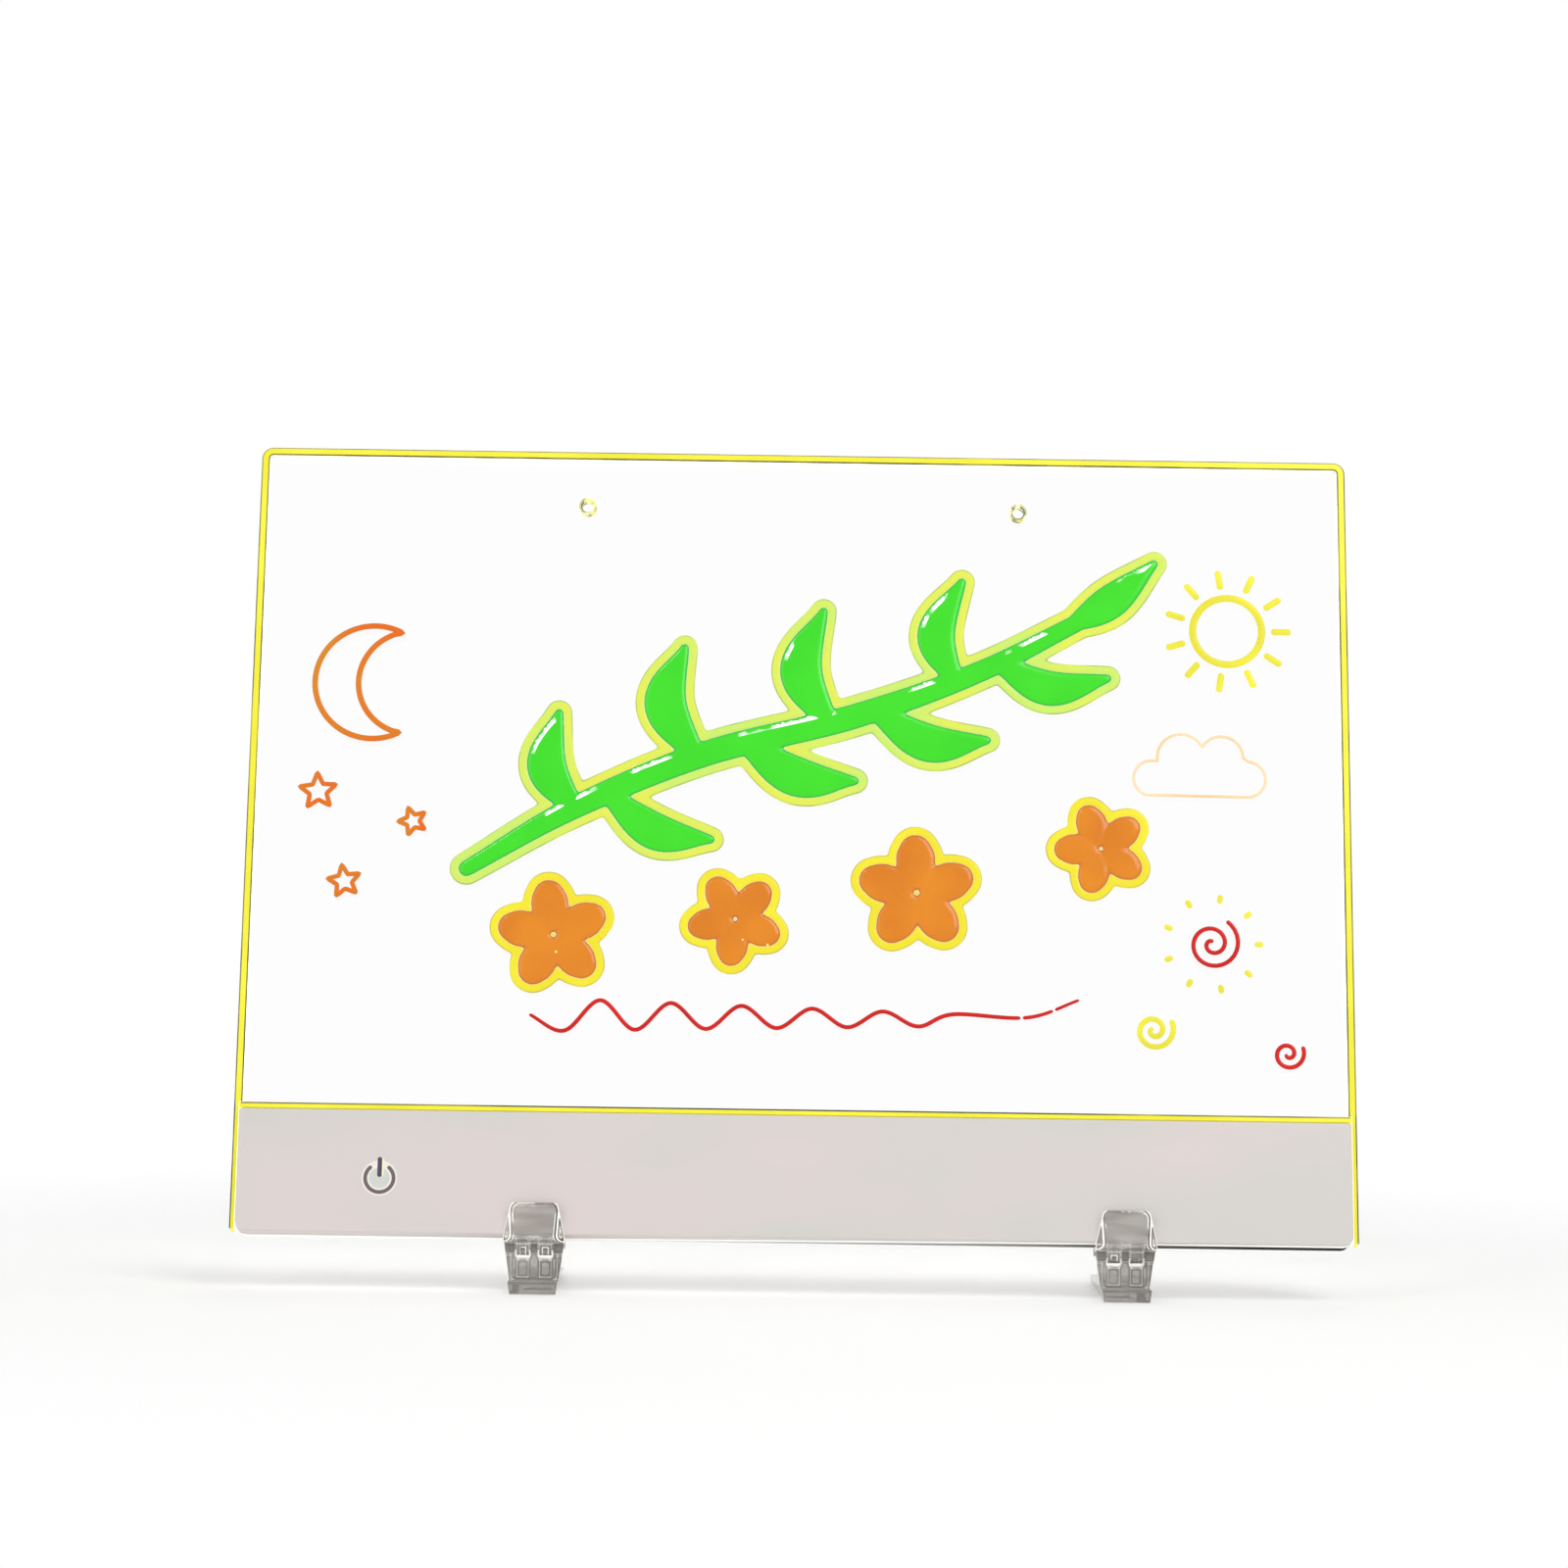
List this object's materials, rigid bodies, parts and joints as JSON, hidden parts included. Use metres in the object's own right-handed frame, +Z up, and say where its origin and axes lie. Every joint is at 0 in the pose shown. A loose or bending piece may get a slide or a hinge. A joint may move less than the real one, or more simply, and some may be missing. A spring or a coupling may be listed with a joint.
{
  "type": "led drawing board",
  "caption": "Edge-lit clear drawing board with a glowing yellow rim and a white touch-key strip, leaning back on clear hinged clip-on feet.",
  "frame": {"origin": "centre of the bounding box on the table surface under the feet", "axes": "+X to the right seen from the front, +Y backwards, the way the board leans, +Z up"},
  "size_m": [0.3, 0.0672, 0.2268],
  "materials": {
    "clear_acrylic": "polished clear",
    "yellow_rim": "glowing fluorescent",
    "white_cover": "satin",
    "clear_clip": "polished clear",
    "white_rail": "satin",
    "circuit_board": "solder mask",
    "lamp_package": "satin",
    "black_chip": "matt",
    "bright_steel": "bright",
    "silver_cell": "foil",
    "foam_tape": "matt",
    "red_wire": "satin",
    "black_wire": "satin"
  },
  "bodies": {
    "board": {"drawing_sheet": "clear_acrylic", "edge_rim": "yellow_rim", "front_light_bar": "yellow_rim", "rear_light_bar": "yellow_rim", "front_cover": "white_cover", "rear_cover": "white_cover", "sheet_rail": "white_rail", "lamp_board": "circuit_board", "control_board": "circuit_board", "charging_board": "circuit_board", "control_chip": "black_chip", "key_lamp": "lamp_package", "touch_spring": "bright_steel", "usb_inlet": "bright_steel", "battery_cell": "silver_cell", "battery_tape": "foam_tape", "lamp_01": "lamp_package", "lamp_02": "lamp_package", "lamp_03": "lamp_package", "lamp_04": "lamp_package", "lamp_05": "lamp_package", "lamp_06": "lamp_package", "lamp_07": "lamp_package", "lamp_08": "lamp_package", "lamp_09": "lamp_package", "lamp_10": "lamp_package", "lamp_11": "lamp_package", "lamp_12": "lamp_package", "lamp_13": "lamp_package", "lamp_14": "lamp_package", "lamp_15": "lamp_package", "lamp_16": "lamp_package", "lamp_17": "lamp_package", "lamp_18": "lamp_package", "cover_screw_1": "bright_steel", "cover_screw_2": "bright_steel", "cover_screw_3": "bright_steel", "cover_screw_4": "bright_steel", "cover_screw_5": "bright_steel", "lamp_lead_red": "red_wire", "lamp_lead_black": "black_wire", "battery_lead_red": "red_wire", "battery_lead_black": "black_wire", "supply_lead_red": "red_wire", "supply_lead_black": "black_wire"},
    "left_clip": {"left_clip": "clear_clip"},
    "left_foot": {"left_foot": "clear_clip", "left_hinge_pin": "bright_steel"},
    "right_clip": {"right_clip": "clear_clip"},
    "right_foot": {"right_foot": "clear_clip", "right_hinge_pin": "bright_steel"}
  },
  "joints": [
    {"name": "left_clip_slide", "type": "slide", "parent": "board", "child": "left_clip", "axis": [1, 0, 0], "range_m": [-0.065, 0.055]},
    {"name": "left_foot_hinge", "type": "hinge", "parent": "left_clip", "child": "left_foot", "pos_m": [-0.069, -0.02458, 0.0116], "axis": [1, 0, 0], "range_deg": [-59.4, 30.6]},
    {"name": "right_clip_slide", "type": "slide", "parent": "board", "child": "right_clip", "axis": [1, 0, 0], "range_m": [-0.075, 0.048]},
    {"name": "right_foot_hinge", "type": "hinge", "parent": "right_clip", "child": "right_foot", "pos_m": [0.088, -0.02458, 0.0116], "axis": [1, 0, 0], "range_deg": [-59.4, 30.6]}
  ]
}
